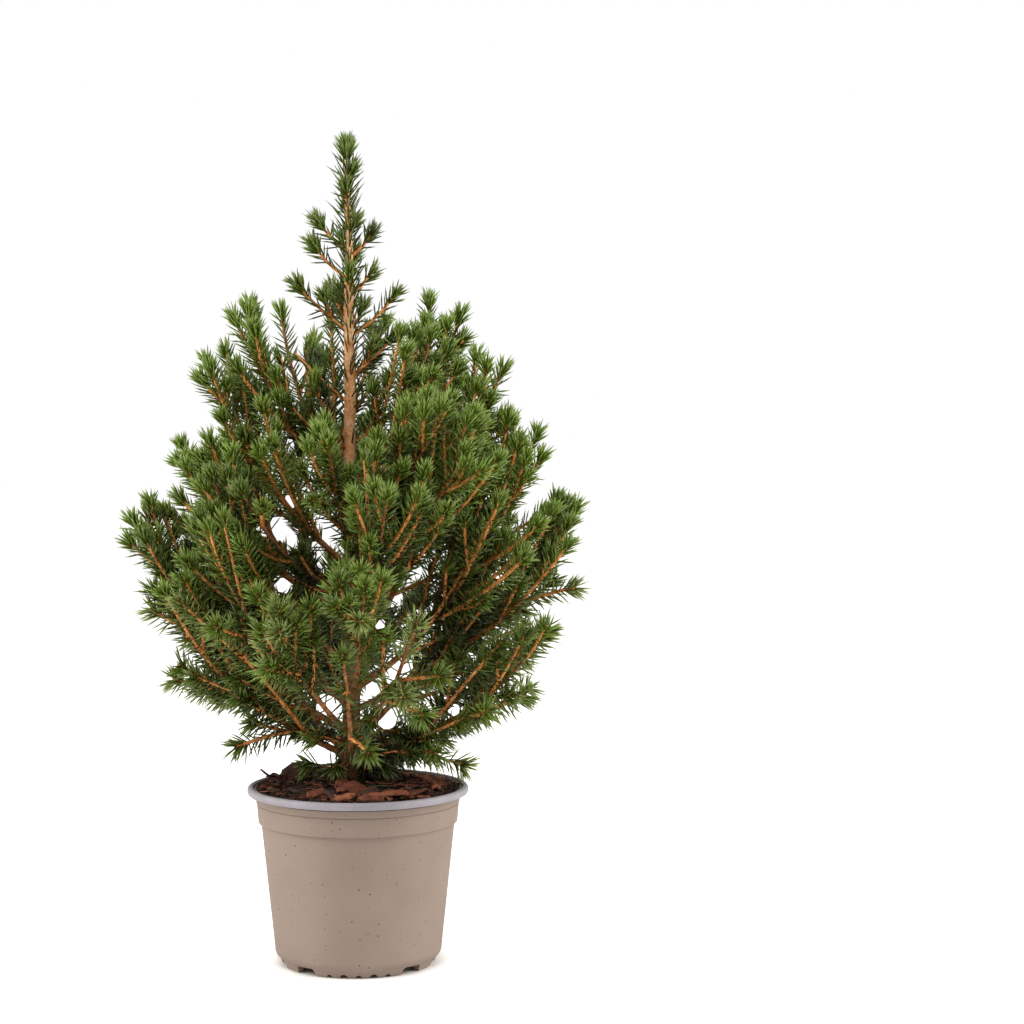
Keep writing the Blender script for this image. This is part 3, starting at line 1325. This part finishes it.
large_places = np.array([[x * MM, y * MM, soil_height(x * MM, y * MM) + 1.8 * MM] for x, y in large[:, :2]])
bm = bmesh.new()
for number in range(len(large)):
    one = slice(number, number + 1)
    mesh = scatter_mesh("chip", chips[number % 7], large_axes[one], large_places[one], large[one, 7].astype(int))
    bm.from_mesh(mesh)
    bpy.data.meshes.remove(mesh)
bmesh.ops.subdivide_edges(bm, edges=bm.edges, cuts=1, use_grid_fill=True, smooth=0.3)
for v in bm.verts:
    v.co += noise.noise_vector(v.co * 350) * 0.35 * MM
mesh = mesh_of(bm, "large_chips")
for material in CHIP_TONES:
    mesh.materials.append(material)
add_piece("large_chips", mesh, smooth=False)
print("large_chips", len(large), "pieces,", triangles_of(mesh), "triangles")

# %% Fibres, and one dark twig that stands out of the mulch
fibre_lines, fibre_sizes = [], []
for x, y in random_spots(150, 8 * MM, 0.9):
    turn, length = rng.uniform(0, 2 * math.pi), rng.uniform(8, 24) * MM
    curl = rng.normal(0, 0.5)
    steps = np.linspace(-0.5, 0.5, 7)
    angle = turn + curl * steps * 2
    line = np.c_[x + steps * length * np.cos(angle), y + steps * length * np.sin(angle), np.zeros(7)]
    if np.hypot(line[:, 0], line[:, 1]).max() > SOIL_EDGE_RADIUS - 1.5 * MM:
        continue
    lift = rng.uniform(0.4, 2.2) * MM
    line[:, 2] = [soil_height(px, py) for px, py in line[:, :2]]
    line[:, 2] = 0.4 * line[:, 2] + 0.6 * line[:, 2].mean() + lift
    fibre_lines.append(line)
    fibre_sizes.append(rng.uniform(0.22, 0.5) * MM * (1 - 0.5 * np.abs(steps * 2) ** 3))
fibre_mesh = tube_mesh("mulch_fibres", fibre_lines, fibre_sizes, 1)
fibre_mesh.materials.append(CHIP_TONES[1])
add_piece("mulch_fibres", fibre_mesh)

stick = bezier(np.array([(-46, 17, 103), (-52, 17.5, 107), (-58, 18, 112)]) * MM, 9)
stick_mesh = tube_mesh("mulch_twig", [stick], [np.linspace(1.0, 0.6, 9) * MM], 2)
stick_mesh.materials.append(DARK_CHIP)
add_piece("mulch_twig", stick_mesh)

# %% A few fallen needles
fallen = random_spots(70, 8 * MM, 0.92)
fallen_axes = laid_axes(
    rng.uniform(0, 2 * math.pi, 70), rng.normal(math.pi / 2, 0.12, 70), rng.uniform(0, 6, 70),
    np.c_[np.full(70, NEEDLE_WIDTH), np.full(70, NEEDLE_WIDTH), rng.uniform(7, 11, 70) * MM],
)
fallen_places = np.array([[x, y, soil_height(x, y) + 1.1 * MM] for x, y in fallen])
fallen_mesh = scatter_mesh("fallen_needles", NEEDLES[1], fallen_axes, fallen_places, rng.integers(0, 2, 70))
fallen_mesh.materials.append(CHIP_TONES[3])
fallen_mesh.materials.append(NEEDLE_TONES[1])
add_piece("fallen_needles", fallen_mesh)
print("fibres:", len(fibre_lines), "and fallen needles:", len(fallen))

# %% [markdown]
# ## The floor
# A wide pale floor catches a soft shadow and runs out of the picture.

# %% Floor
bm = bmesh.new()
bmesh.ops.create_circle(bm, cap_ends=True, segments=64, radius=6)
floor = bpy.data.objects.new("floor", mesh_of(bm, "floor"))
bpy.context.scene.collection.objects.link(floor)
white, nodes, links, shader = new_material("floor_white", 0.8, 0.0)
shader.inputs["Base Color"].default_value = (0.9, 0.9, 0.9, 1)
shader.inputs["Emission Color"].default_value = (1, 1, 1, 1)
seen_ray = nodes.new("ShaderNodeLightPath")
place = nodes.new("ShaderNodeTexCoord")
span = nodes.new("ShaderNodeVectorMath")
span.operation = "LENGTH"
clear = nodes.new("ShaderNodeMapRange")  # no lift under the pot, all of it a little way off
clear.inputs["From Min"].default_value = 0.045
clear.inputs["From Max"].default_value = 0.062
clear.inputs["To Max"].default_value = 0.6
lift = nodes.new("ShaderNodeMath")
lift.operation = "MULTIPLY"
links.new(place.outputs["Object"], span.inputs[0])
links.new(span.outputs["Value"], clear.inputs["Value"])
links.new(clear.outputs["Result"], lift.inputs[1])
links.new(seen_ray.outputs["Is Camera Ray"], lift.inputs[0])
links.new(lift.outputs["Value"], shader.inputs["Emission Strength"])
floor.data.materials.append(white)
floor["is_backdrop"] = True

# %% Finish
pieces = [piece for piece in bpy.data.objects if piece.type == "MESH" and not piece.hide_render]
print("triangles shown:", sum(triangles_of(piece.data) for piece in pieces))
size = {"cad": cad_box, "visual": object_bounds()}
